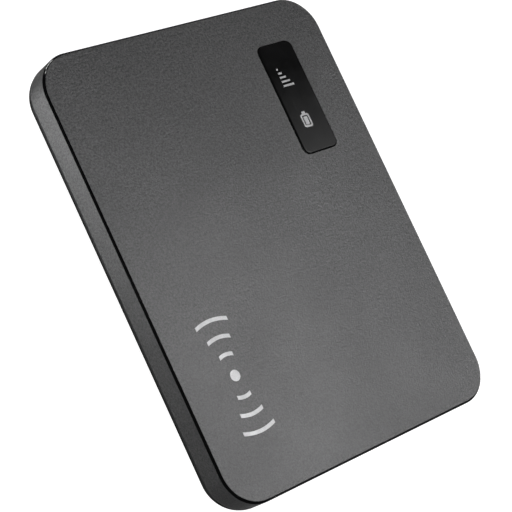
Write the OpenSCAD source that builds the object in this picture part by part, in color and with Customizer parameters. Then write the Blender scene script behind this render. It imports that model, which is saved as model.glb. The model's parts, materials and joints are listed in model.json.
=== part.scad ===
// Pocket 4G hotspot: a flat radio router with a removable battery.
// It lies on its back on z = 0, front face up. X is the short side, Y the long side.

/* [Body] */
// Width of the body
body_w = 69; // [68:0.5:74]
// Length of the body
body_l = 90; // [89:0.5:96]
// Height of the front face above the back
body_h = 10; // [9.9:0.05:10.3]
// Radius of the four corners, seen from the front
corner_r = 7.5; // [7:0.25:8]
// Radius of the rounded back edge
back_edge_r = 5; // [4.6:0.1:5.5]
// Width of the bevel round the front face
bevel_w = 0.42; // [0.3:0.02:0.5]
// Height of the bevel round the front face
bevel_h = 0.43; // [0.3:0.01:0.46]
// Thickness of the side wall
wall = 1.3; // [1.1:0.1:1.4]
// Thickness of the back cover
cover_skin = 1.0; // [0.8:0.05:1]

/* [Window] */
// Width of the display window
lens_w = 9.3; // [8.5:0.1:10]
// Length of the display window
lens_l = 23.85; // [22:0.1:25]
// Corner radius of the display window
lens_r = 1.6; // [0.6:0.1:2]
// Height of the display window above the front face
lens_proud = 0.25; // [0.1:0.05:0.4]
// Centre of the display window, across the body
lens_x = 20.45; // [18:0.1:21]
// Centre of the display window, along the body
lens_y = 24.4; // [20:0.1:26]

/* [Battery] */
// Width of the battery
battery_w = 50; // [46:0.5:51]
// Length of the battery
battery_l = 58; // [54:0.5:58]
// Thickness of the battery
battery_t = 4.2; // [3.8:0.1:4.2]

/* [Keys] */
// How far the side key presses in
power_travel = 0.3; // [0.2:0.05:0.35]
// Length of the side key
power_key_l = 9.6; // [8:0.2:10]
// Height of the side key
power_key_h = 1.9; // [1.6:0.1:2]

/* [Hidden] */
$fn = 96;

// Colours
sand_grey = [0.33, 0.33, 0.34];
gloss_black = [0.03, 0.03, 0.035];
dark_plastic = [0.08, 0.08, 0.085];
print_silver = [0.78, 0.78, 0.79];
steel = [0.72, 0.72, 0.74];
gold = [0.83, 0.66, 0.3];
board_green = [0.05, 0.22, 0.13];
chip_black = [0.05, 0.05, 0.055];

// Half lengths of the straight stretches between the corner arcs
flat_x = body_w / 2 - corner_r;
flat_y = body_l / 2 - corner_r;

// Heights of the stack, from the back upwards
parting_z = 4.4;                        // back cover to side frame
foam_t = 0.2;
battery_z = cover_skin + foam_t;
battery_top = battery_z + battery_t;
web_z0 = 5.5;                           // chassis web
web_z1 = 6.0;
board_z0 = 6.6;                         // circuit board
board_z1 = 7.3;
wall_mid = (board_z0 + board_z1) / 2;
can_z = 8.65;                           // top of the shield cans
panel_z = body_h - 1;                   // underside of the front panel
ring_z = panel_z + 0.1;                 // underside of the bezel ring
seam_z = body_h - 0.5;                  // side frame to bezel ring
rim_z = body_h - 0.3;                   // underside of the front panel's thin rim

// Insets from the body's outline
ring_lap = 0.6;                         // rebate in the side frame that seats the ring
panel_inset = 2.2;                      // thick middle of the front panel
lip_out = wall + 0.1;                   // lip of the back cover, inside the wall
lip_in = wall + 0.9;
chassis_inset = wall + 0.4;

// Screws: three pairs, along both long sides
screw_x = body_w / 2 - 5.2;
screw_y = body_l / 2 - 5.2;
mid_screw_y = -12;
screw_places = [
    for (sx = [-1, 1]) for (y = [-screw_y, mid_screw_y, screw_y]) [sx * screw_x, y]
];
boss_r = 1.8;
screw_r = 0.6;
screw_clear_r = 0.85;
screw_head_r = 1.25;
screw_head_t = 0.6;

// Circuit board
board_w = body_w - 7;
board_l = body_l - 7;
board_r = 4;

// Battery bay
battery_y = body_l / 2 - 4.5 - battery_l / 2;
battery_end = battery_y - battery_l / 2;
bay_gap = 0.3;
bay_wall = 0.8;
bay_z = 2.3;

// Micro-USB socket, in the middle of the end wall
usb_w = 7.5;
usb_h = 2.5;
usb_chamfer = 0.8;
usb_front = -body_l / 2 + 0.6;
usb_back = usb_front + 5.5;
usb_skin = 0.25;
usb_tongue_z = wall_mid + 0.32;

// Side key, in the far end wall
power_x = 8;
power_z = 7.05;
power_scoop = 0.4;
power_face = body_l / 2 - 0.1;
wall_in_y = body_l / 2 - wall;
power_switch_y = board_l / 2 - 1.45;
power_switch_face = power_switch_y + 1.6;

// SIM socket, in the service bay
sim_w = 12;
sim_l = 15;
sim_t = 0.76;
sim_x0 = -29;
sim_y = -30.5;
sim_z = 5.2;
sim_skin = 0.15;
sim_gap = 0.2;
sim_card_z = sim_z + sim_skin + 0.08;
sim_card_x = sim_x0 + sim_skin + 0.5;
sim_travel = 14;
sim_case_w = sim_w + 2 * (sim_gap + sim_skin) + 0.9;
sim_case_l = sim_l + 0.2;

// Pairing key and reset switch, in the service bay
service_y = -30.5;
wps_x = 12;
wps_w = 5;
wps_h = 3;
wps_travel = 0.25;
wps_flange_t = 0.1;
reset_x = 22;
reset_r = 0.6;
reset_t = 0.25;
reset_travel = 0.25;

// Battery connector
connector_w = 10;
connector_front = battery_end - 0.5;
connector_back = connector_front - 3.2;
contact_pitch = 2.2;
contact_z = 3.3;

// Signal bars and battery icon in the window
bar_x0 = lens_x - 2.25;
bar_y0 = lens_y + 6.45;
bar_t = 0.4;
bar_pitch = 0.92;
bar_l0 = 0.44;
bar_growth = 0.59;
icon_x = lens_x - 0.6;
icon_y = lens_y - 5.2;

// Symbol printed on the front
symbol_x = -22.3;
symbol_y = -22;
symbol_dot_r = 1.1;
symbol_stroke = 0.75;
symbol_waves = [4.2, 7.6, 11.0];
symbol_half_h = [1.6, 2.7, 3.8];
print_t = 0.06;

// The window's chamfer and the tape that holds it
lens_chamfer = 0.3;
tape_w = 1.2;

// ---------- shared shapes ----------

// A rounded rectangle about the origin
module round_rect(w, l, r) {
    square([w - 2 * r, l], center = true);
    square([w, l - 2 * r], center = true);
    for (sx = [-1, 1], sy = [-1, 1])
        translate([sx * (w / 2 - r), sy * (l / 2 - r)]) circle(r);
}

// A plate with the body's outline drawn in by inset, from z0 up to z1
module body_slab(inset, z0, z1)
    translate([0, 0, z0])
        linear_extrude(z1 - z0)
            round_rect(body_w - 2 * inset, body_l - 2 * inset, corner_r - inset);

// A rounded plate about [x, y], from z0 up to z1
module plate(x, y, w, l, r, z0, z1)
    translate([x, y, z0])
        linear_extrude(z1 - z0)
            round_rect(w, l, r);

// A box about [x, y], from z0 up to z1
module box(x, y, w, l, z0, z1)
    translate([x - w / 2, y - l / 2, z0]) cube([w, l, z1 - z0]);

// A bar with half-round ends, long in X, about the origin
module stadium(w, h) {
    square([w - h, h], center = true);
    for (s = [-1, 1]) translate([s * (w - h) / 2, 0]) circle(h / 2);
}

// Sweeps a profile once round a rounded rectangle whose corner arcs have their centres at [x, y].
// The profile's x runs outwards from the centre of the corner arc, its y is height.
module around(x, y) {
    for (turn = [0, 180]) rotate(turn) {
        translate([x, y, 0]) rotate([90, 0, 0]) linear_extrude(2 * y) children();
        translate([-x, y, 0]) rotate([90, 0, 90]) linear_extrude(2 * x) children();
        translate([x, y, 0]) rotate_extrude(angle = 90) children();
        translate([-x, y, 0]) rotate(90) rotate_extrude(angle = 90) children();
    }
}

module around_body() around(flat_x, flat_y) children();

// The filled section of the body, drawn in by inset, with its rounded back edge
module section(inset) {
    arc_x = corner_r - back_edge_r;
    translate([0, inset]) square([arc_x, body_h]);
    translate([0, back_edge_r]) square([corner_r - inset, body_h]);
    intersection() {
        translate([arc_x, back_edge_r]) circle(back_edge_r - inset);
        square([corner_r, body_h]);
    }
}

// The wall's section between two heights
module wall_section(inner_inset, z0, z1)
    intersection() {
        difference() {
            section(0);
            section(inner_inset);
        }
        translate([0, z0]) square([corner_r, z1 - z0]);
    }

// ---------- outer shells ----------

module front_panel()
    color(sand_grey)
        difference() {
            union() {
                body_slab(panel_inset, panel_z, body_h);
                body_slab(bevel_w, rim_z, body_h);
            }
            plate(lens_x, lens_y, lens_w + 0.1, lens_l + 0.1, lens_r + 0.05, seam_z - 0.1, body_h + 1);
            plate(lens_x, lens_y, lens_w - 2 * tape_w, lens_l - 2 * tape_w, 0.5, panel_z - 1, body_h);
            translate([0, 0, body_h - print_t]) linear_extrude(1) symbol_outline();
        }

module bezel_ring()
    color(gloss_black)
        around_body()
            polygon([
                [corner_r, seam_z],
                [corner_r, body_h - bevel_h],
                [corner_r - bevel_w, body_h],
                [corner_r - bevel_w, rim_z],
                [corner_r - panel_inset, rim_z],
                [corner_r - panel_inset, ring_z],
                [corner_r - ring_lap, ring_z],
                [corner_r - ring_lap, seam_z]
            ]);

// A screw boss with a rib that ties it to the wall
module boss(place) {
    corner = abs(place[1]) == screw_y;
    turn = corner ? atan2(sign(place[1]), sign(place[0])) : (place[0] > 0 ? 0 : 180);
    reach = corner ? corner_r - wall - sqrt(2) * (screw_x - flat_x) : body_w / 2 - wall - screw_x;
    translate([place[0], place[1], board_z1]) {
        cylinder(r = boss_r, h = panel_z - board_z1);
        rotate(turn) translate([0, -0.6, 0]) cube([reach + 0.4, 1.2, panel_z - board_z1]);
    }
}

module side_frame()
    color(sand_grey)
        difference() {
            union() {
                around_body()
                    difference() {
                        wall_section(wall, parting_z, seam_z);
                        translate([0, ring_z]) square([corner_r - ring_lap, 1]);
                    }
                for (place = screw_places) boss(place);
            }
            for (place = screw_places)
                translate([place[0], place[1], board_z1 - 1]) cylinder(r = screw_r, h = 2.2);
            // Opening for the USB plug
            translate([0, -body_l / 2 - 1, wall_mid])
                rotate([-90, 0, 0])
                    linear_extrude(wall + 2) round_rect(usb_w + 0.8, usb_h + 0.6, 0.8);
            // Recess and slot for the side key
            translate([power_x, body_l / 2 - power_scoop, power_z])
                rotate([-90, 0, 0]) linear_extrude(2) stadium(power_key_l + 1.8, power_key_h + 1);
            translate([power_x, wall_in_y - 1, power_z])
                rotate([-90, 0, 0]) linear_extrude(3) stadium(power_key_l + 0.2, power_key_h + 0.2);
        }

module back_cover() {
    lip_top = parting_z + 0.85;
    color(gloss_black) {
        difference() {
            union() {
                around_body() {
                    wall_section(cover_skin, 0, parting_z);
                    // Lip that guides the cover into the side frame
                    translate([corner_r - lip_in, parting_z - 1]) square([lip_in - 0.7, 1]);
                    translate([corner_r - lip_in, parting_z - 1])
                        square([lip_in - lip_out, lip_top - parting_z + 1]);
                }
                box(0, 0, 2 * flat_x, 2 * flat_y, 0, cover_skin);
                // Stiffening ribs under the service bay
                for (x = [-24 : 8 : 24]) box(x, -30, 0.6, 17, cover_skin - 0.1, cover_skin + 0.8);
                for (y = [-38, -22]) box(0, y, 48, 0.6, cover_skin - 0.1, cover_skin + 0.8);
            }
            // Fingernail notch at the corner by the side key
            translate([body_w / 2, flat_y - 4, parting_z]) rotate([0, 45, 0]) cube([0.9, 9, 0.9], center = true);
        }
    }
}

module cover_foam()
    color([0.15, 0.15, 0.16])
        plate(0, battery_y, 34, 24, 2, cover_skin, cover_skin + foam_t);

// ---------- window ----------

module lens_blank(z0, z1) plate(lens_x, lens_y, lens_w, lens_l, lens_r, z0, z1);

// What is cut away along the window's upper edge to leave its chamfer
module lens_chamfer_cut() {
    top = body_h + lens_proud;
    foot = body_h + 0.03;
    translate([lens_x, lens_y, 0])
        around(lens_w / 2 - lens_r, lens_l / 2 - lens_r)
            polygon([
                [lens_r - lens_chamfer, top], [lens_r, foot], [lens_r + 1, foot],
                [lens_r + 1, top + 1], [lens_r - lens_chamfer, top + 1]
            ]);
}

// Five bars that grow along the window
module signal_outline()
    for (i = [0 : 4])
        translate([bar_x0, bar_y0 - i * bar_pitch - bar_t / 2]) square([bar_l0 + bar_growth * i, bar_t]);

// A battery seen upright along the window, with its terminal
module battery_outline() {
    case_w = 2.25;
    case_l = 2.9;
    stroke = 0.38;
    translate([icon_x, icon_y]) {
        difference() {
            round_rect(case_w, case_l, 0.5);
            round_rect(case_w - 2 * stroke, case_l - 2 * stroke, 0.2);
        }
        translate([-0.45, case_l / 2 - 0.1]) square([0.9, 0.6]);
        square([1.0, 1.7], center = true);
    }
}

module display_lens()
    color(gloss_black)
        difference() {
            lens_blank(seam_z, body_h + lens_proud);
            lens_chamfer_cut();
            translate([0, 0, body_h + lens_proud - print_t])
                linear_extrude(1) {
                    signal_outline();
                    battery_outline();
                }
        }

module signal_icon()
    color(print_silver)
        translate([0, 0, body_h + lens_proud - print_t]) linear_extrude(print_t) signal_outline();

module battery_icon()
    color(print_silver)
        translate([0, 0, body_h + lens_proud - print_t]) linear_extrude(print_t) battery_outline();

// One radio wave: an arc about the dot, cut off at half_h above and below it
module wave(radius, half_h) {
    intersection() {
        difference() {
            circle(radius + symbol_stroke / 2);
            circle(radius - symbol_stroke / 2);
        }
        translate([-half_h, 0]) square([2 * half_h, radius + symbol_stroke]);
    }
}

// Radio waves that spread from a dot, along the body
module symbol_outline()
    translate([symbol_x, symbol_y]) {
        circle(symbol_dot_r);
        for (i = [0 : 2], turn = [0, 180]) rotate(turn) wave(symbol_waves[i], symbol_half_h[i]);
    }

module front_symbol()
    color(print_silver)
        translate([0, 0, body_h - print_t]) linear_extrude(print_t) symbol_outline();

module lens_adhesive()
    color(dark_plastic)
        difference() {
            lens_blank(seam_z - 0.1, seam_z);
            plate(lens_x, lens_y, lens_w - 2 * tape_w, lens_l - 2 * tape_w, 0.5, seam_z - 1, seam_z + 1);
        }

shroud_w = lens_w - 2 * tape_w - 0.4;
shroud_l = lens_l - 2 * tape_w - 0.4;
shroud_z1 = seam_z - 0.15;
light_x = bar_x0 + 1.5;

module light_shroud()
    color(dark_plastic)
        difference() {
            plate(lens_x, lens_y, shroud_w, shroud_l, 0.4, board_z1, shroud_z1);
            // One chamber for each signal light, and one for the battery light
            for (i = [0 : 4]) box(light_x, bar_y0 - i * bar_pitch, 3.3, 0.7, board_z1 - 1, shroud_z1 + 1);
            box(icon_x, icon_y, 2.6, 4.2, board_z1 - 1, shroud_z1 + 1);
            // Hollow that keeps the moulding light
            box(lens_x, (bar_y0 + icon_y) / 2 - 0.9, 4.6, 3.4, board_z1 - 1, shroud_z1 - 0.6);
        }

module light_diffuser()
    color([0.9, 0.9, 0.88])
        plate(lens_x, lens_y, shroud_w, shroud_l, 0.4, shroud_z1, seam_z);

module indicator_leds() {
    color([0.95, 0.93, 0.75]) {
        for (i = [0 : 4]) box(light_x, bar_y0 - i * bar_pitch, 1.0, 0.5, board_z1, board_z1 + 0.35);
        box(icon_x, icon_y, 1.6, 0.8, board_z1, board_z1 + 0.6);
    }
}

// ---------- chassis ----------

module chassis()
    color(dark_plastic)
        difference() {
            union() {
                body_slab(chassis_inset, web_z0, web_z1);
                // Bay walls round the battery
                box(0, battery_y, battery_w + 2 * (bay_gap + bay_wall),
                    battery_l + 2 * (bay_gap + bay_wall), bay_z, web_z1);
                // Ribs that stiffen the side channels
                for (s = [-1, 1], y = [-4, 4, 12, 20, 28])
                    box(s * (battery_w / 2 + 3.6), y, 5.2, 0.8, 4.2, web_z1);
                // Standoffs that carry the board
                for (place = screw_places)
                    translate([place[0], place[1], web_z1 - 0.1])
                        cylinder(r = boss_r, h = board_z0 - web_z1 + 0.1);
            }
            // The bay itself
            box(0, battery_y, battery_w + 2 * bay_gap, battery_l + 2 * bay_gap, bay_z - 1, web_z0);
            // Window for the battery connector
            box(0, connector_front - 1.6, connector_w + 0.8, 3.8, bay_z - 1, web_z1 + 1);
            // Window for the SIM socket and the card's way out
            box(sim_x0 + (sim_case_l + sim_travel) / 2 + 0.6, sim_y, sim_case_l + sim_travel + 2.0,
                sim_case_w + 0.8, web_z0 - 1, web_z1 + 1);
            // Hole for the pairing key
            translate([wps_x, service_y, web_z0 - 1])
                linear_extrude(3) stadium(wps_w + 0.3, wps_h + 0.3);
            // Pin hole for the reset switch
            translate([reset_x, service_y, web_z0 - 1]) cylinder(r = 0.5, h = 3);
            // Clearance for the USB socket
            box(0, -body_l / 2 + 4, usb_w + 1.2, 5, web_z0 - 1, web_z1 + 1);
            for (place = screw_places)
                translate([place[0], place[1], web_z0 - 1]) cylinder(r = screw_clear_r, h = 3);
        }

// A pan-head screw with a cross recess, driven upwards from the chassis
module screw() {
    recess = 0.32;
    difference() {
        union() {
            translate([0, 0, -screw_head_t]) cylinder(r = screw_head_r, h = screw_head_t);
            cylinder(r = screw_r, h = 2.9);
        }
        for (turn = [0, 90])
            rotate(turn) translate([0, 0, -screw_head_t]) cube([1.5, 0.34, 2 * recess], center = true);
    }
}

module chassis_screws()
    color(steel)
        for (place = screw_places) translate([place[0], place[1], web_z0]) screw();

module rating_label()
    color([0.86, 0.86, 0.84])
        plate(0, battery_y, 38, 30, 1, web_z0 - 0.06, web_z0);

// ---------- board ----------

module main_board()
    color(board_green)
        difference() {
            plate(0, 0, board_w, board_l, board_r, board_z0, board_z1);
            box(0, -board_l / 2, usb_w + 0.4, 2 * (board_l / 2 + usb_back + 0.2), board_z0 - 1, board_z1 + 1);
            for (place = screw_places)
                translate([place[0], place[1], board_z0 - 1]) cylinder(r = screw_clear_r, h = 3);
        }

// A pressed can with an open underside, standing on the board
module can(x, y, w, l) {
    skin = 0.2;
    difference() {
        plate(x, y, w, l, 0.6, board_z1, can_z);
        plate(x, y, w - 2 * skin, l - 2 * skin, 0.4, board_z1 - 1, can_z - skin);
        // Row of vent holes
        for (i = [-2 : 2]) translate([x + i * w / 6, y - l / 2 + 2, can_z - 1]) cylinder(r = 0.5, h = 2);
    }
}

modem_can = [-15, 19, 24, 26];
rf_can = [-16, -12, 22, 26];
wifi_can = [5, -14, 16, 18];

module modem_shield() color(steel) can(modem_can[0], modem_can[1], modem_can[2], modem_can[3]);
module rf_shield() color(steel) can(rf_can[0], rf_can[1], rf_can[2], rf_can[3]);
module wifi_shield() color(steel) can(wifi_can[0], wifi_can[1], wifi_can[2], wifi_can[3]);

// A moulded package with its pin-one dimple
module package(x, y, w, l, h)
    difference() {
        box(x, y, w, l, board_z1, board_z1 + h);
        translate([x - w / 2 + 0.9, y + l / 2 - 0.9, board_z1 + h - 0.1]) cylinder(r = 0.35, h = 1);
    }

module modem_chip() color(chip_black) package(-17, 22, 12, 12, 0.9);
module memory_chip() color(chip_black) package(-15, 10.5, 10, 8, 0.8);
module rf_chip() color(chip_black) package(-17, -9, 7, 7, 0.8);
module wifi_chip() color(chip_black) package(4, -13, 7, 7, 0.85);
module power_chip() color(chip_black) package(6, 8, 6, 6, 0.8);

// Inductors round the power chip, and rows of capacitors
module board_passives()
    color([0.45, 0.4, 0.34]) {
        for (y = [2.2, 6.2, 10.2]) box(12, y, 2.5, 2, board_z1, board_z1 + 1);
        for (i = [0 : 7]) box(-1 + i * 1.6, 13.4, 0.6, 1.1, board_z1, board_z1 + 0.5);
        for (i = [0 : 6]) box(-24 + i * 1.8, -30, 0.6, 1.1, board_z1, board_z1 + 0.5);
        for (i = [0 : 5]) box(-24 + i * 2.2, -2.5, 0.6, 1.1, board_z1, board_z1 + 0.5);
        for (i = [0 : 4]) box(1 + i * 1.7, -19.5, 0.6, 1.1, board_z1, board_z1 + 0.5);
        for (i = [0 : 5]) box(17 + i * 1.5, 4, 0.6, 1.1, board_z1, board_z1 + 0.5);
    }

module thermal_pad()
    color([0.62, 0.66, 0.7])
        plate(modem_can[0], modem_can[1] + 2, 18, 16, 0.5, can_z, panel_z);

// ---------- antennas ----------

// A flexible antenna standing on edge: a strip with slots cut in from alternate sides
module antenna_strip(length, slots) {
    height = 3.0;
    pitch = length / (slots + 1);
    rotate([90, 0, 0])
        linear_extrude(0.2)
            difference() {
                square([length, height], center = true);
                for (i = [1 : slots])
                    translate([-length / 2 + i * pitch, (i % 2 == 0 ? 1 : -1) * 0.5])
                        square([0.5, height - 0.6], center = true);
            }
}

antenna_z = 7.5;
main_antenna_x = -17;
wifi_antenna_y = 8;
diversity_antenna_x = -15;

module main_antenna()
    color([0.72, 0.42, 0.22])
        translate([main_antenna_x, -body_l / 2 + wall + 0.2, antenna_z]) antenna_strip(18, 6);

module diversity_antenna()
    color([0.72, 0.42, 0.22])
        translate([diversity_antenna_x, wall_in_y, antenna_z]) antenna_strip(18, 5);

module wifi_antenna()
    color([0.72, 0.42, 0.22])
        translate([body_w / 2 - wall, wifi_antenna_y, antenna_z]) rotate(-90) antenna_strip(14, 4);

// A folded clip that reaches from the board to an antenna
module spring_clip(reach)
    rotate([90, 0, 0])
        linear_extrude(1.2, center = true)
            polygon([
                [0, 0], [reach - 0.1, 0], [reach, 1.2], [reach - 0.2, 1.2],
                [reach - 0.28, 0.18], [0, 0.18]
            ]);

module antenna_springs() {
    reach_y = body_l / 2 - wall - 0.2 - (board_l / 2 - 1);
    reach_x = body_w / 2 - wall - 0.2 - (board_w / 2 - 1);
    color(gold) {
        translate([main_antenna_x + 2.3, -board_l / 2 + 1, board_z1]) rotate(-90) spring_clip(reach_y);
        translate([diversity_antenna_x + 1, board_l / 2 - 1, board_z1]) rotate(90) spring_clip(reach_y);
        translate([board_w / 2 - 1, wifi_antenna_y + 1, board_z1]) spring_clip(reach_x);
    }
}

// ---------- USB socket ----------

// Micro-USB section: a low box with its two lower corners cut off
module usb_section(inset) {
    half_w = usb_w / 2 - inset;
    half_h = usb_h / 2 - inset;
    polygon([
        [-half_w, half_h], [half_w, half_h], [half_w, -half_h + usb_chamfer],
        [half_w - usb_chamfer, -half_h], [-half_w + usb_chamfer, -half_h],
        [-half_w, -half_h + usb_chamfer]
    ]);
}

// Stands a section up so that it runs along +Y from the given place
module along_y(y0, y1)
    translate([0, y1, wall_mid]) rotate([90, 0, 0]) linear_extrude(y1 - y0) children();

module usb_shell()
    color(steel) {
        difference() {
            along_y(usb_front, usb_back) usb_section(0);
            along_y(usb_front - 1, usb_back - usb_skin) usb_section(usb_skin);
        }
        // Tabs soldered to the board
        for (s = [-1, 1]) box(s * (usb_w / 2 + 0.75), usb_back - 1.8, 1.6, 1.6, board_z1, board_z1 + 0.2);
    }

module usb_tongue()
    color(dark_plastic) {
        box(0, (usb_front + usb_back) / 2 + 0.35, 3.7, usb_back - usb_front - 1.2,
            usb_tongue_z - 0.3, usb_tongue_z + 0.3);
        along_y(usb_back - usb_skin - 0.8, usb_back - usb_skin) usb_section(usb_skin + 0.02);
    }

module usb_contacts()
    color(gold)
        for (i = [-2 : 2])
            box(i * 0.65, (usb_front + usb_back) / 2, 0.35, 3.4, usb_tongue_z - 0.38, usb_tongue_z - 0.3);

// ---------- keys ----------

// A bar along X that runs along Y from y0 to y1
module key_bar(x, z, w, h, y0, y1)
    translate([x, y1, z]) rotate([90, 0, 0]) linear_extrude(y1 - y0) stadium(w, h);

module power_button()
    color(dark_plastic) {
        key_bar(power_x, power_z, power_key_l, power_key_h, wall_in_y - 0.2, power_face);
        // Flange that keeps the key in
        key_bar(power_x, power_z, power_key_l + 1.4, power_key_h, wall_in_y - 0.5, wall_in_y - 0.1);
        // Nub that reaches the switch, clear of it by the key's travel
        key_nub(power_switch_face + power_travel + 0.05, wall_in_y - 0.3);
    }

module key_nub(y0, y1)
    box(power_x, (y0 + y1) / 2, 1.6, y1 - y0, board_z1 + 0.2, power_z + power_key_h / 2 - 0.05);

module power_switch()
    color(steel) {
        box(power_x, power_switch_y, 4.6, 2.4, board_z1, can_z);
        box(power_x, power_switch_face - 0.25, 1.8, 0.5, board_z1 + 0.2, can_z - 0.35);
    }

module wps_button()
    color([0.75, 0.76, 0.77]) {
        translate([wps_x, service_y, web_z0 - 0.5])
            linear_extrude(web_z1 - web_z0 + 0.55) stadium(wps_w, wps_h);
        // Flange that keeps the key in, just above the web
        translate([wps_x, service_y, web_z1 + 0.02])
            linear_extrude(wps_flange_t - 0.02) stadium(wps_w + 1.4, wps_h + 1.4);
    }

// A snap dome on the underside of the board, clear of the key by its travel
module wps_dome() {
    dome_z = web_z1 + wps_flange_t + wps_travel + 0.04;
    color(steel)
        translate([wps_x, service_y, dome_z]) cylinder(r1 = 1.1, r2 = 1.9, h = board_z0 - dome_z);
}

reset_z = web_z1 + 0.02;
reset_bore_top = reset_z + reset_t + reset_travel + 0.03;

module reset_switch()
    color(steel)
        difference() {
            box(reset_x, service_y, 3, 2.6, reset_z + 0.12, board_z0);
            translate([reset_x, service_y, web_z0])
                cylinder(r = reset_r + 0.05, h = reset_bore_top - web_z0);
        }

module reset_plunger()
    color(dark_plastic)
        translate([reset_x, service_y, reset_z]) cylinder(r = reset_r, h = reset_t);

// ---------- SIM ----------

module sim_cover()
    color(steel)
        difference() {
            box(sim_x0 + sim_case_l / 2, sim_y, sim_case_l, sim_case_w, sim_z, board_z0);
            // The inside, open at the mouth and towards the board
            box(sim_x0 + sim_case_l / 2 + sim_skin + 0.5, sim_y, sim_case_l + 1, sim_case_w - 2 * sim_skin,
                sim_z + sim_skin, board_z0 + 1);
            // Thumb cut-out at the mouth, and two spring windows
            translate([sim_x0 + sim_case_l, sim_y, sim_z - 1]) cylinder(r = 3.2, h = 1 + sim_skin + 0.02);
            for (s = [-1, 1]) box(sim_x0 + 5, sim_y + s * 3.6, 4.6, 1.6, sim_z - 1, sim_z + sim_skin + 0.02);
        }

module sim_base()
    color(chip_black)
        box(sim_x0 + sim_case_l / 2 + sim_skin / 2, sim_y, sim_case_l - sim_skin,
            sim_case_w - 2 * sim_skin, board_z0 - 0.25, board_z0);

module sim_contacts()
    color(gold)
        for (x = [0 : 2], s = [-1, 1])
            box(sim_x0 + 4.2 + x * 2.54, sim_y + s * 3.8, 1.3, 2.2, board_z0 - 0.37, board_z0 - 0.25);

// A card with one corner cut off
module sim_card() {
    cut = 2.0;
    color([0.9, 0.9, 0.91])
        difference() {
            translate([sim_card_x, sim_y - sim_w / 2, sim_card_z])
                linear_extrude(sim_t)
                    polygon([
                        [0, 0], [sim_l, 0], [sim_l, sim_w - cut], [sim_l - cut, sim_w], [0, sim_w]
                    ]);
            sim_pad_blocks(0.05, 1);
        }
}

// The card's eight gold pads, sunk depth into its board side
module sim_pad_blocks(depth, above)
    for (x = [0 : 3], s = [-1, 1])
        box(sim_card_x + 3.4 + x * 2.2, sim_y + s * 3.6, 2.0, 2.6,
            sim_card_z + sim_t - depth, sim_card_z + sim_t + above);

module sim_card_pads() color(gold) sim_pad_blocks(0.05, 0);

// ---------- battery ----------

cap_l = 4;
label_t = 0.08;
label_w = battery_w - 8;
label_l = battery_l - 14;

module battery_pack()
    color([0.62, 0.63, 0.65])
        difference() {
            plate(0, battery_y + cap_l / 2, battery_w, battery_l - cap_l, 1.2, battery_z, battery_top);
            battery_label_blank(1);
        }

// The label's place on the battery's underside
module battery_label_blank(below)
    plate(0, battery_y + cap_l / 2, label_w, label_l, 1, battery_z - below, battery_z + label_t);

module battery_label() color([0.12, 0.13, 0.15]) battery_label_blank(0);

module battery_cap()
    color(dark_plastic)
        difference() {
            plate(0, battery_end + cap_l / 2, battery_w, cap_l, 0.8, battery_z, battery_top);
            battery_contact_blocks(1);
            // Thumb notch for lifting the battery
            translate([battery_w / 2 - 6, battery_end, battery_z - 1]) cylinder(r = 2, h = 1.8);
        }

// Four contacts, let into the end of the battery
module battery_contact_blocks(out)
    for (i = [-1.5 : 1 : 1.5])
        translate([i * contact_pitch - 0.7, battery_end - out, contact_z - 0.9]) cube([1.4, out + 0.2, 1.8]);

module battery_contacts() color(gold) battery_contact_blocks(0);

module battery_connector()
    color(chip_black)
        difference() {
            box(0, (connector_front + connector_back) / 2, connector_w, 3.2, contact_z - 0.9, board_z0);
            for (i = [-1.5 : 1 : 1.5]) connector_slot(i * contact_pitch, 0.9);
        }

// The slot that a spring stands in
module connector_slot(x, w)
    translate([x - w / 2, connector_front - 1.6, contact_z - 0.5]) cube([w, 1.7, 2]);

// A spring blade: a bowed strip that stands out of its slot towards the battery
module battery_springs() {
    reach = battery_end - 0.02 - (connector_front - 1.6);
    color(gold)
        for (i = [-1.5 : 1 : 1.5])
            translate([i * contact_pitch, connector_front - 1.6, contact_z - 0.5])
                rotate([90, 0, 90])
                    linear_extrude(0.7, center = true)
                        polygon([
                            [0, 0.02], [0.2, 0.02], [0.2, 1.1], [reach - 0.35, 0.75], [reach - 0.2, 0.55],
                            [reach, 0.7], [reach, 0.95], [reach - 0.3, 1.1], [0.1, 1.6], [0, 1.6]
                        ]);
}

front_panel();
bezel_ring();
side_frame();
back_cover();
cover_foam();
display_lens();
signal_icon();
battery_icon();
front_symbol();
lens_adhesive();
light_shroud();
light_diffuser();
indicator_leds();
chassis();
chassis_screws();
main_board();
modem_shield();
rf_shield();
wifi_shield();
modem_chip();
memory_chip();
rf_chip();
wifi_chip();
power_chip();
board_passives();
thermal_pad();
main_antenna();
diversity_antenna();
wifi_antenna();
antenna_springs();
usb_shell();
usb_tongue();
usb_contacts();
power_button();
power_switch();
wps_button();
wps_dome();
reset_switch();
reset_plunger();
sim_cover();
sim_base();
sim_contacts();
sim_card();
sim_card_pads();
battery_connector();
battery_springs();
battery_pack();
battery_cap();
battery_contacts();
battery_label();
rating_label();
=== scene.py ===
"""Looks of the pocket hotspot: materials, edge finish, detailed pieces, floor, lights and camera.

Everything is in metres, in the CAD row's frame: X is the short side, Y the long side, and Z points out of
the front face.
"""

import json
import math

import bmesh
import bpy
from mathutils import Matrix, Vector, noise


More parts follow.
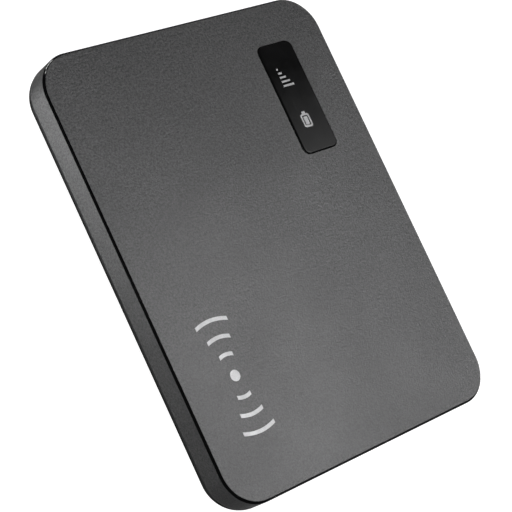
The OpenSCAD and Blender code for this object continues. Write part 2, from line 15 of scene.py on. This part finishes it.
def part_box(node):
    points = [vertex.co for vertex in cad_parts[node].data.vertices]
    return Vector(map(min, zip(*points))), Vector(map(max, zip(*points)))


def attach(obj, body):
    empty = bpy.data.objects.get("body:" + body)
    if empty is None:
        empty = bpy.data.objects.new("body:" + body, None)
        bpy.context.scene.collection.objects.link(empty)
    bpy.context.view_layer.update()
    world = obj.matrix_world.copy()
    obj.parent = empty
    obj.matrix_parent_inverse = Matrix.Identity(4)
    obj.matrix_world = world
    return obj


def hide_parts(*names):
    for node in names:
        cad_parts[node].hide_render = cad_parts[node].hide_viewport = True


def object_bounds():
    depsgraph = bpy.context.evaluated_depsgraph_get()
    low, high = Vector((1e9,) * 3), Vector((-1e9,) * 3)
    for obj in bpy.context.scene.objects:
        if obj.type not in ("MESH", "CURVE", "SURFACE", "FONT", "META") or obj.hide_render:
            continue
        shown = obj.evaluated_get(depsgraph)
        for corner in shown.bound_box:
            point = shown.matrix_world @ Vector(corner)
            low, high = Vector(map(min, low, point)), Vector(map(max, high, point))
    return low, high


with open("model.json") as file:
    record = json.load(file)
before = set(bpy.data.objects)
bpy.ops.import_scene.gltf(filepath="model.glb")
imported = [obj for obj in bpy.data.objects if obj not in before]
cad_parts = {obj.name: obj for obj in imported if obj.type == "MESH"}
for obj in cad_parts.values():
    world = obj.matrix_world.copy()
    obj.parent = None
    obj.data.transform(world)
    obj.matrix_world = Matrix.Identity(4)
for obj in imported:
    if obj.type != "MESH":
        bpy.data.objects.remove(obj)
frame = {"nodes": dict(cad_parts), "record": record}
cad_low, cad_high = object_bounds()
nodes = frame["nodes"]
MM = 0.001


# ---------- materials ----------

class Look:
    """A procedural material, built up on one Principled shader."""

    def __init__(self, name, **constants):
        self.material = bpy.data.materials.new(name)
        self.material.use_nodes = True
        self.tree = self.material.node_tree
        self.shader = self.tree.nodes["Principled BSDF"]
        self.place = self.add("ShaderNodeTexCoord").outputs["Object"]
        self.last_bump = None
        for socket, value in constants.items():
            self.shader.inputs[socket.replace("_", " ")].default_value = value

    def add(self, kind, **settings):
        node = self.tree.nodes.new(kind)
        for name, value in settings.items():
            setattr(node, name, value)
        return node

    def link(self, value, socket):
        """Joins an output to a socket, or sets the socket to a plain value."""
        if isinstance(value, bpy.types.NodeSocket):
            self.tree.links.new(value, socket)
        else:
            socket.default_value = value

    def stretched(self, x, y, z):
        """The place, scaled along each axis, for grain that runs one way."""
        mapping = self.add("ShaderNodeMapping")
        self.link(self.place, mapping.inputs["Vector"])
        mapping.inputs["Scale"].default_value = (x, y, z)
        return mapping.outputs["Vector"]

    def noise(self, size, detail=2.0, roughness=0.5, place=None):
        """Soft noise whose lumps are about size across."""
        node = self.add("ShaderNodeTexNoise")
        self.link(place or self.place, node.inputs["Vector"])
        node.inputs["Scale"].default_value = 1 / size
        node.inputs["Detail"].default_value = detail
        node.inputs["Roughness"].default_value = roughness
        return node.outputs["Fac"]

    def cells(self, size, feature="F1", metric="EUCLIDEAN", output="Distance", place=None):
        """Voronoi cells about size across."""
        node = self.add("ShaderNodeTexVoronoi", feature=feature)
        if feature != "DISTANCE_TO_EDGE":
            node.distance = metric
        self.link(place or self.place, node.inputs["Vector"])
        node.inputs["Scale"].default_value = 1 / size
        return node.outputs[output]

    def remap(self, value, low, high, out_low=0.0, out_high=1.0):
        node = self.add("ShaderNodeMapRange")
        self.link(value, node.inputs["Value"])
        sockets = ("From Min", "From Max", "To Min", "To Max")
        for socket, number in zip(sockets, (low, high, out_low, out_high)):
            node.inputs[socket].default_value = number
        return node.outputs["Result"]

    def math(self, operation, a, b=0.0):
        node = self.add("ShaderNodeMath", operation=operation)
        self.link(a, node.inputs[0])
        self.link(b, node.inputs[1])
        return node.outputs[0]

    def mix(self, factor, a, b):
        node = self.add("ShaderNodeMix", data_type="RGBA")
        self.link(factor, node.inputs["Factor"])
        self.link(a if isinstance(a, bpy.types.NodeSocket) else (*a, 1), node.inputs["A"])
        self.link(b if isinstance(b, bpy.types.NodeSocket) else (*b, 1), node.inputs["B"])
        return node.outputs["Result"]

    def axis(self, letter):
        """One coordinate of the place."""
        node = self.add("ShaderNodeSeparateXYZ")
        self.link(self.place, node.inputs[0])
        return node.outputs[letter]

    def colour(self, value):
        self.link(value, self.shader.inputs["Base Color"])

    def rough(self, value):
        self.link(value, self.shader.inputs["Roughness"])

    def bump(self, height, depth, strength=1.0):
        """Adds relief of the given depth on top of any relief already there."""
        node = self.add("ShaderNodeBump")
        self.link(height, node.inputs["Height"])
        node.inputs["Distance"].default_value = depth
        node.inputs["Strength"].default_value = strength
        if self.last_bump:
            self.link(self.last_bump, node.inputs["Normal"])
        self.last_bump = node.outputs["Normal"]
        self.link(self.last_bump, self.shader.inputs["Normal"])


def sand_paint(name, dark, light):
    """Dark metallic spray paint with a sandy grain."""
    look = Look(name, Metallic=0.5)
    grain = look.noise(0.42 * MM, detail=3.0, roughness=0.75)
    flecks = look.cells(0.36 * MM)
    cloud = look.noise(22 * MM, detail=2.0)
    shade = look.mix(look.remap(grain, 0.38, 0.62), dark, light)
    bright = [1.7 * c for c in light]
    shade = look.mix(look.remap(flecks, 0.26, 0.05, 0.0, 0.8), shade, bright)
    shade = look.mix(look.remap(cloud, 0.35, 0.65, 0.0, 0.12), shade, dark)
    look.colour(shade)
    grain_rough = look.remap(grain, 0.3, 0.7, 0.35, 0.53)
    look.rough(look.math("ADD", grain_rough, look.remap(cloud, 0.3, 0.7, -0.02, 0.02)))
    look.bump(flecks, 0.03 * MM, 0.5)
    look.bump(grain, 0.08 * MM, 0.8)
    return look.material


def moulded(name, colour, rough, grain_size, grain_depth, coat=0.0, shine=0.5, rim_shine=None):
    """Moulded plastic with a spark-eroded texture and faint flow marks.

    rim_shine is its shine at a grazing angle, where that differs.
    """
    look = Look(name, Coat_Weight=coat, Coat_Roughness=0.08, Specular_IOR_Level=shine)
    grain = look.noise(grain_size, detail=3.0, roughness=0.55)
    flow = look.noise(9 * MM, detail=3.0, roughness=0.6)
    lighter = [min(1.0, 1.35 * c + 0.002) for c in colour]
    look.colour(look.mix(look.remap(look.math("ADD", grain, flow), 0.75, 1.25, 0.0, 0.8), colour, lighter))
    flow_rough = look.remap(flow, 0.3, 0.7, -0.05, 0.05)
    look.rough(look.math("ADD", flow_rough, look.remap(grain, 0.3, 0.7, rough, rough + 0.1)))
    look.bump(grain, grain_depth, 0.6)
    if rim_shine is not None:
        facing = look.add("ShaderNodeLayerWeight").outputs["Facing"]
        look.link(look.remap(facing, 0.35, 0.75, shine, rim_shine), look.shader.inputs["Specular IOR Level"])
    return look.material


def polished(name, colour, rough=0.06, shine=0.5):
    """Polished plastic with faint hairlines and a breath of haze."""
    look = Look(name, Specular_IOR_Level=shine)
    haze = look.noise(6 * MM, detail=4.0, roughness=0.6)
    hairs = look.noise(0.25 * MM, detail=2.0, place=look.stretched(1.0, 0.06, 1.0))
    lighter = [c * 1.6 + 0.001 for c in colour]
    look.colour(look.mix(look.remap(haze, 0.35, 0.7), colour, lighter))
    haze_rough = look.remap(haze, 0.3, 0.75, rough, rough + 0.06)
    look.rough(look.math("ADD", haze_rough, look.remap(hairs, 0.62, 0.75, 0.0, 0.05)))
    look.bump(hairs, 0.002 * MM, 0.15)
    return look.material


def metal(name, colour, rough=0.3, brushed=(1.0, 0.05, 1.0), line=0.12 * MM):
    """Stamped sheet metal with rolling lines and small stains."""
    look = Look(name, Metallic=1.0, Anisotropic=0.3)
    lines = look.noise(line, detail=3.0, roughness=0.7, place=look.stretched(*brushed))
    stains = look.noise(4 * MM, detail=4.0, roughness=0.65)
    darker = [0.78 * c for c in colour]
    look.colour(look.mix(look.remap(look.math("ADD", lines, stains), 0.8, 1.2), darker, colour))
    line_rough = look.remap(lines, 0.3, 0.7, rough - 0.06, rough + 0.08)
    look.rough(look.math("ADD", line_rough, look.remap(stains, 0.3, 0.7, -0.04, 0.06)))
    look.bump(lines, 0.004 * MM, 0.35)
    return look.material


def printed(name, colour, rough):
    """A thin layer of ink with faint screen dots."""
    look = Look(name, Metallic=0.15)
    dots = look.cells(0.17 * MM)
    patch = look.noise(1.2 * MM, detail=3.0)
    darker = [0.8 * c for c in colour]
    look.colour(look.mix(look.remap(look.math("ADD", dots, patch), 0.6, 1.2), colour, darker))
    look.rough(look.remap(patch, 0.3, 0.7, rough, rough + 0.1))
    look.bump(dots, 0.004 * MM, 0.3)
    return look.material


def circuit_board():
    """Green solder mask over tracks, ground fill and plated holes; bare laminate at the edges."""
    look = Look("board_look", Coat_Weight=0.6, Coat_Roughness=0.12)
    tracks = look.cells(2.6 * MM, metric="MANHATTAN", feature="DISTANCE_TO_EDGE")
    fill = look.noise(7 * MM, detail=1.0)
    holes = look.cells(1.7 * MM, metric="CHEBYCHEV")
    is_track = look.remap(tracks, 0.075, 0.06)
    is_hole = look.remap(holes, 0.1, 0.085)
    mask = look.mix(look.remap(fill, 0.48, 0.52), (0.006, 0.055, 0.03), (0.01, 0.085, 0.045))
    mask = look.mix(is_track, mask, (0.018, 0.13, 0.065))
    mask = look.mix(is_hole, mask, (0.35, 0.25, 0.1))
    normal = look.add("ShaderNodeNewGeometry").outputs["Normal"]
    upright = look.add("ShaderNodeSeparateXYZ")
    look.link(normal, upright.inputs[0])
    edge = look.remap(look.math("ABSOLUTE", upright.outputs["Z"]), 0.5, 0.4)
    weave = look.noise(0.5 * MM, detail=2.0, place=look.stretched(0.2, 0.2, 1.0))
    laminate = look.mix(weave, (0.23, 0.19, 0.08), (0.33, 0.29, 0.14))
    look.colour(look.mix(edge, mask, laminate))
    look.rough(look.remap(fill, 0.3, 0.7, 0.28, 0.38))
    look.bump(look.math("MAXIMUM", is_track, is_hole), 0.03 * MM, 0.8)
    return look.material


def foam(name, colour):
    """Fine-celled foam."""
    look = Look(name, Specular_IOR_Level=0.2)
    pores = look.cells(0.3 * MM)
    lumps = look.noise(2 * MM, detail=3.0)
    lighter = [1.8 * c for c in colour]
    look.colour(look.mix(look.remap(look.math("ADD", pores, lumps), 0.5, 1.3), colour, lighter))
    look.rough(look.remap(lumps, 0.3, 0.7, 0.82, 0.95))
    look.bump(pores, 0.08 * MM, 0.7)
    return look.material


def milky(name, colour):
    """Plastic that lets some light through."""
    look = Look(name, Transmission_Weight=0.3, IOR=1.49)
    cloud = look.noise(1.4 * MM, detail=3.0)
    look.colour(look.mix(cloud, [0.9 * c for c in colour], colour))
    look.rough(look.remap(cloud, 0.3, 0.7, 0.3, 0.45))
    look.bump(cloud, 0.01 * MM, 0.3)
    return look.material


def antenna_film():
    """Copper tracks under an amber film."""
    look = Look("antenna_look", Coat_Weight=0.7, Coat_Roughness=0.15, Metallic=0.6)
    bands = look.cells(2.2 * MM, feature="DISTANCE_TO_EDGE")
    cloud = look.noise(1.5 * MM, detail=3.0)
    copper = look.mix(cloud, (0.55, 0.24, 0.1), (0.68, 0.33, 0.15))
    look.colour(look.mix(look.remap(bands, 0.08, 0.1), (0.25, 0.1, 0.02), copper))
    look.rough(look.remap(cloud, 0.3, 0.7, 0.25, 0.4))
    look.bump(bands, 0.02 * MM, 0.5)
    return look.material


def battery_sleeve(label_box):
    """A laminated sleeve: dark, with one plain accent band and no lettering."""
    look = Look("battery_label_look", Coat_Weight=0.5, Coat_Roughness=0.15)
    high = label_box[1]
    y = look.axis("Y")
    fibres = look.noise(0.2 * MM, detail=3.0)
    scuffs = look.noise(5 * MM, detail=5.0, roughness=0.7)
    base = look.mix(scuffs, (0.018, 0.02, 0.026), (0.03, 0.033, 0.04))
    band_low, band_high = high.y - 9 * MM, high.y - 5 * MM
    fade = 0.05 * MM
    above_low = look.remap(y, band_low, band_low + fade)
    below_high = look.remap(y, band_high, band_high - fade)
    in_band = look.math("MULTIPLY", above_low, below_high)
    look.colour(look.mix(in_band, base, (0.05, 0.2, 0.32)))
    look.rough(look.remap(scuffs, 0.3, 0.7, 0.25, 0.42))
    look.bump(fibres, 0.006 * MM, 0.3)
    return look.material


def paper(name, colour):
    """Satin label stock."""
    look = Look(name, Coat_Weight=0.2, Coat_Roughness=0.3)
    fibres = look.noise(0.3 * MM, detail=4.0, roughness=0.7)
    stains = look.noise(8 * MM, detail=3.0)
    darker = [0.88 * c for c in colour]
    look.colour(look.mix(look.remap(look.math("ADD", fibres, stains), 0.8, 1.3), colour, darker))
    look.rough(look.remap(fibres, 0.3, 0.7, 0.45, 0.6))
    look.bump(fibres, 0.01 * MM, 0.4)
    return look.material


SLOT_LOOKS = {
    "sand_paint": sand_paint("sand_paint_look", (0.038, 0.038, 0.039), (0.098, 0.098, 0.099)),
    "bezel_black": polished("bezel_look", (0.003, 0.003, 0.0033), shine=0.3),
    "cover_black": moulded(
        "cover_look", (0.009, 0.009, 0.0095), 0.36, 0.16 * MM, 0.012 * MM, shine=0.4, rim_shine=0.0
    ),
    "lens_black": polished("lens_look", (0.0012, 0.0012, 0.0014), rough=0.08),
    "icon_print": printed("icon_look", (0.6, 0.6, 0.61), 0.42),
    "symbol_print": printed("symbol_look", (0.62, 0.62, 0.63), 0.38),
    "tape": foam("tape_look", (0.012, 0.012, 0.012)),
    "foam": foam("foam_look", (0.02, 0.02, 0.022)),
    "dark_plastic": moulded("dark_plastic_look", (0.014, 0.014, 0.015), 0.42, 0.2 * MM, 0.02 * MM),
    "key_plastic": moulded("key_look", (0.016, 0.016, 0.017), 0.36, 0.12 * MM, 0.01 * MM),
    "grey_key": moulded("grey_key_look", (0.3, 0.31, 0.32), 0.4, 0.15 * MM, 0.01 * MM),
    "milky_film": milky("milky_look", (0.82, 0.82, 0.8)),
    "led": milky("led_look", (0.85, 0.8, 0.42)),
    "steel": metal("steel_look", (0.62, 0.62, 0.63), 0.26),
    "tin_plate": metal("tin_plate_look", (0.66, 0.66, 0.65), 0.36, brushed=(0.08, 1.0, 1.0)),
    "gold": metal("gold_look", (0.86, 0.62, 0.26), 0.24, line=0.08 * MM),
    "board": circuit_board(),
    "chip": moulded("chip_look", (0.016, 0.016, 0.017), 0.48, 0.1 * MM, 0.01 * MM),
    "passives": moulded("passives_look", (0.28, 0.2, 0.13), 0.4, 0.12 * MM, 0.01 * MM),
    "thermal_pad": foam("thermal_pad_look", (0.24, 0.28, 0.32)),
    "antenna_film": antenna_film(),
    "card_plastic": moulded("card_look", (0.72, 0.73, 0.74), 0.32, 0.25 * MM, 0.004 * MM, coat=0.3),
    "cell_wrap": metal("cell_look", (0.56, 0.57, 0.59), 0.34, line=0.2 * MM),
    "battery_label": battery_sleeve(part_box("battery_label")),
    "label_paper": paper("label_paper_look", (0.68, 0.68, 0.66)),
}


# ---------- edge finish ----------

EDGE_RADII = {
    "front_panel": 0.1, "bezel_ring": 0.04, "side_frame": 0.06, "back_cover": 0.08, "display_lens": 0.05,
    "chassis": 0.08, "power_button": 0.15, "wps_button": 0.12, "battery_pack": 0.35, "battery_cap": 0.2,
    "usb_shell": 0.06, "sim_cover": 0.04, "sim_card": 0.06, "battery_connector": 0.1,
    "modem_shield": 0.08, "rf_shield": 0.08, "wifi_shield": 0.08,
}
DEFAULT_EDGE_RADIUS = 0.02
SHARP_ANGLE = math.radians(32)
FLAT_ANGLE = math.radians(0.4)
WELD_DISTANCE = 0.0002 * MM
BEVEL_SEGMENTS = 2
FACE_AREA_WEIGHT = 100


def smooth_by_angle():
    """A modifier group that shades smoothly and keeps edges above SHARP_ANGLE sharp."""
    group = bpy.data.node_groups.new("smooth_by_angle", "GeometryNodeTree")
    group.interface.new_socket("Geometry", in_out="INPUT", socket_type="NodeSocketGeometry")
    group.interface.new_socket("Geometry", in_out="OUTPUT", socket_type="NodeSocketGeometry")
    start = group.nodes.new("NodeGroupInput")
    end = group.nodes.new("NodeGroupOutput")
    faces = group.nodes.new("GeometryNodeSetShadeSmooth")
    edges = group.nodes.new("GeometryNodeSetShadeSmooth")
    edges.domain = "EDGE"
    angle = group.nodes.new("GeometryNodeInputMeshEdgeAngle")
    flat = group.nodes.new("FunctionNodeCompare")
    flat.operation = "LESS_EQUAL"
    flat.inputs["B"].default_value = SHARP_ANGLE
    group.links.new(angle.outputs["Unsigned Angle"], flat.inputs["A"])
    group.links.new(start.outputs[0], faces.inputs["Geometry"])
    group.links.new(faces.outputs[0], edges.inputs["Geometry"])
    group.links.new(flat.outputs["Result"], edges.inputs["Shade Smooth"])
    group.links.new(edges.outputs[0], end.inputs[0])
    return group


SMOOTH_GROUP = smooth_by_angle()


def finish_edges(piece, radius):
    """Rounds the hard edges a little and shades the rest smoothly."""
    weld = piece.modifiers.new("weld", "WELD")
    weld.merge_threshold = WELD_DISTANCE
    merge = piece.modifiers.new("merge_flats", "DECIMATE")
    merge.decimate_type = "DISSOLVE"
    merge.angle_limit = FLAT_ANGLE
    if radius:
        bevel = piece.modifiers.new("soft_edges", "BEVEL")
        bevel.width = radius * MM
        bevel.segments = BEVEL_SEGMENTS
        bevel.limit_method = "ANGLE"
        bevel.angle_limit = SHARP_ANGLE
        bevel.use_clamp_overlap = True
    smooth = piece.modifiers.new("smooth", "NODES")
    smooth.node_group = SMOOTH_GROUP
    weighted = piece.modifiers.new("even_normals", "WEIGHTED_NORMAL")
    weighted.keep_sharp = True
    weighted.weight = FACE_AREA_WEIGHT


slot_of = {part["node"]: part["material_slot"] for part in frame["record"]["subparts"]}
for name, piece in nodes.items():
    piece.data.materials.clear()
    piece.data.materials.append(SLOT_LOOKS[slot_of[name]])
    finish_edges(piece, EDGE_RADII.get(name, DEFAULT_EDGE_RADIUS))


# ---------- foam pads ----------

PAD_STEP = 0.35 * MM
PAD_ROUND = 0.22 * MM
PAD_PIT = 0.05 * MM
PAD_PORE = 0.6 * MM


def foam_pad(name, node, body, corner):
    """Stands for a CAD pad: foam with round corners, rounded cut edges and a lumpy, open-celled skin."""
    low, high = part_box(node)
    counts = [max(2, round((high[i] - low[i]) / PAD_STEP)) for i in range(3)]
    edge = min(PAD_ROUND, 0.45 * min(high - low))
    depth = min(PAD_PIT, 0.4 * edge)
    inner_low = low + Vector((edge, edge, edge))
    inner_high = high - Vector((edge, edge, edge))
    mesh = bmesh.new()
    points = {}

    def point(index):
        if index not in points:
            spot = Vector([low[i] + (high[i] - low[i]) * index[i] / counts[i] for i in range(3)])
            plan = Vector([min(max(spot[i], low[i] + corner), high[i] - corner) for i in range(2)])
            reach = spot.xy - plan
            if reach.length > corner:
                spot.xy = plan + reach * (corner / reach.length)
            core = Vector([min(max(spot[i], inner_low[i]), inner_high[i]) for i in range(3)])
            outward = (spot - core).normalized()
            pit = depth * (0.5 + 0.5 * noise.noise(spot / PAD_PORE))
            points[index] = mesh.verts.new(core + outward * (edge - pit))
        return points[index]

    for across in range(3):
        first, second = [i for i in range(3) if i != across]
        for side in (0, counts[across]):
            for a in range(counts[first]):
                for b in range(counts[second]):
                    corners = []
                    for step_a, step_b in ((0, 0), (1, 0), (1, 1), (0, 1)):
                        index = [0, 0, 0]
                        index[across], index[first], index[second] = side, a + step_a, b + step_b
                        corners.append(point(tuple(index)))
                    mesh.faces.new(corners)
    bmesh.ops.recalc_face_normals(mesh, faces=mesh.faces)
    for face in mesh.faces:
        face.smooth = True
    skin = bpy.data.meshes.new(name)
    mesh.to_mesh(skin)
    mesh.free()
    pad = bpy.data.objects.new(name, skin)
    bpy.context.scene.collection.objects.link(pad)
    skin.materials.append(SLOT_LOOKS[slot_of[node]])
    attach(pad, body)
    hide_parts(node)


foam_pad("cover_foam_pad", "cover_foam", "back_cover", 2 * MM)
foam_pad("thermal_foam_pad", "thermal_pad", "main_unit", 0.5 * MM)


# ---------- floor, lights and camera ----------

FLOOR_SIZE = 6.0
FLOOR_DROP = 40 * MM
SEEN_WHITE = 1.0
FLOOR_GLOW = 0.1
ROOM_GLOW = 0.06


def glow_for_rays(tree, seen, shed):
    """A strength that is seen by the camera as one value and lights the object with another."""
    rays = tree.nodes.new("ShaderNodeLightPath")
    blend = tree.nodes.new("ShaderNodeMath")
    blend.operation = "MULTIPLY_ADD"
    blend.inputs[1].default_value = seen - shed
    blend.inputs[2].default_value = shed
    tree.links.new(rays.outputs["Is Camera Ray"], blend.inputs[0])
    return blend.outputs[0]


def add_floor():
    """A plain pale floor, well below the object so that an opened cover clears it.

    It is white to the camera and sheds only a little light on the object. From underneath it is clear.
    """
    half = FLOOR_SIZE / 2
    corners = [(x * half, y * half, -FLOOR_DROP) for x, y in ((-1, -1), (1, -1), (1, 1), (-1, 1))]
    mesh = bpy.data.meshes.new("floor")
    mesh.from_pydata(corners, [], [(0, 1, 2, 3)])
    floor = bpy.data.objects.new("floor", mesh)
    bpy.context.scene.collection.objects.link(floor)
    look = Look("floor_look", Specular_IOR_Level=0.2, Emission_Color=(1, 1, 1, 1))
    paint = look.noise(50 * MM, detail=2.0)
    look.colour(look.mix(paint, (0.36, 0.36, 0.36), (0.38, 0.38, 0.38)))
    look.rough(look.remap(paint, 0.3, 0.7, 0.6, 0.7))
    look.bump(look.noise(1.5 * MM, detail=3.0), 0.01 * MM, 0.2)
    look.link(glow_for_rays(look.tree, SEEN_WHITE, FLOOR_GLOW), look.shader.inputs["Emission Strength"])
    clear = look.add("ShaderNodeBsdfTransparent")
    side = look.add("ShaderNodeNewGeometry")
    mix = look.add("ShaderNodeMixShader")
    look.link(side.outputs["Backfacing"], mix.inputs[0])
    look.tree.links.new(look.shader.outputs[0], mix.inputs[1])
    look.tree.links.new(clear.outputs[0], mix.inputs[2])
    look.tree.links.new(mix.outputs[0], look.tree.nodes["Material Output"].inputs["Surface"])
    floor.data.materials.append(look.material)


def add_room():
    """A room that is white to the camera and sheds only a little even light."""
    world = bpy.data.worlds.new("room")
    world.use_nodes = True
    background = world.node_tree.nodes["Background"]
    background.inputs["Color"].default_value = (1, 1, 1, 1)
    glow = glow_for_rays(world.node_tree, SEEN_WHITE, ROOM_GLOW)
    world.node_tree.links.new(glow, background.inputs["Strength"])
    bpy.context.scene.world = world
    bpy.context.scene.view_settings.view_transform = "Standard"


def direction(azimuth, elevation):
    """The unit vector at two angles in degrees. Azimuth 0 is +X and 90 is +Y."""
    turn, lift = math.radians(azimuth), math.radians(elevation)
    return Vector((math.cos(lift) * math.cos(turn), math.cos(lift) * math.sin(turn), math.sin(lift)))


def add_softbox(name, aim, azimuth, elevation, distance, size, power, spread):
    """A square area light that looks at a point from the given direction. Spread is in degrees."""
    light = bpy.data.lights.new(name, "AREA")
    light.shape = "SQUARE"
    light.size = size
    light.energy = power
    light.spread = math.radians(spread)
    lamp = bpy.data.objects.new(name, light)
    away = direction(azimuth, elevation)
    lamp.location = Vector(aim) + away * distance
    lamp.rotation_euler = away.to_track_quat("Z", "Y").to_euler()
    bpy.context.scene.collection.objects.link(lamp)


add_floor()
add_room()

FACE_CENTRE = (0, -0.02, 0.01)
NEAR_CORNER = (-0.02, -0.045, 0.01)
FAR_CORNER = (-0.03, 0.04, 0.01)
WINDOW = (0.020, 0.024, 0.01)
POOL_X = -0.12

# The key fades at its rim, so the glossy lens shows it as a soft gradient.
add_softbox("key", WINDOW, azimuth=-12, elevation=50, distance=0.35, size=0.36, power=0.077, spread=36)
add_softbox("high_fill", FACE_CENTRE, azimuth=0, elevation=60,
             distance=0.35, size=0.12, power=0.113, spread=90)
add_softbox("near_fill", NEAR_CORNER, azimuth=0, elevation=60,
             distance=0.15, size=0.06, power=0.0036, spread=120)
add_softbox("low_fill", NEAR_CORNER, azimuth=0, elevation=35,
             distance=0.15, size=0.06, power=0.002, spread=120)
# Pools of light on the floor beside the left wall, which the wall reflects.
pools = (("pool_near", 0.02, 0.074, 40), ("pool_mid", 0.045, 0.242, 20), ("pool_far", 0.07, 0.137, 20))
for pool, pool_y, power, spread in pools:
    pool_centre = (POOL_X, pool_y, -FLOOR_DROP)
    add_softbox(pool, pool_centre, 185, 75, distance=0.34, size=0.03, power=power, spread=spread)
# A row of small, narrow lights beyond the far left corner, for the glints on the glossy edges there.
for glint_turn, glint_lift in ((80, 4), (88, 7), (96, 10), (104, 22)):
    add_softbox("glint", FAR_CORNER, glint_turn, glint_lift, distance=0.08, size=0.01, power=3e-5, spread=12)
# A low light beside the floor reaches the underside, and the open bay when the cover is off.
add_softbox("under", (0, 0, 0), azimuth=-20, elevation=-9, distance=0.17, size=0.025, power=0.02, spread=150)

# The camera looks down on the front from the left, and is rolled so that the object leans.
CAMERA_AIM = Vector((-6.25 * MM, -2.81 * MM, cad_high.z - 0.25 * MM))
CAMERA_DISTANCE = 321.5 * MM
CAMERA_AZIMUTH = 189.18
CAMERA_ELEVATION = 51.15
CAMERA_ROLL = 57.9
CAMERA_LENS = 119.83
CAMERA_SENSOR = 36
CAMERA_NEAR = 10 * MM


def add_camera():
    """A camera that looks at CAMERA_AIM, rolled about its line of sight."""
    away = direction(CAMERA_AZIMUTH, CAMERA_ELEVATION)
    data = bpy.data.cameras.new("camera")
    data.lens = CAMERA_LENS
    data.sensor_width = CAMERA_SENSOR
    data.clip_start = CAMERA_NEAR
    camera = bpy.data.objects.new("camera", data)
    upright = away.to_track_quat("Z", "Y").to_matrix().to_4x4()
    roll = Matrix.Rotation(math.radians(CAMERA_ROLL), 4, "Z")
    camera.matrix_world = Matrix.Translation(CAMERA_AIM + away * CAMERA_DISTANCE) @ upright @ roll
    bpy.context.scene.collection.objects.link(camera)
    bpy.context.scene.camera = camera


add_camera()
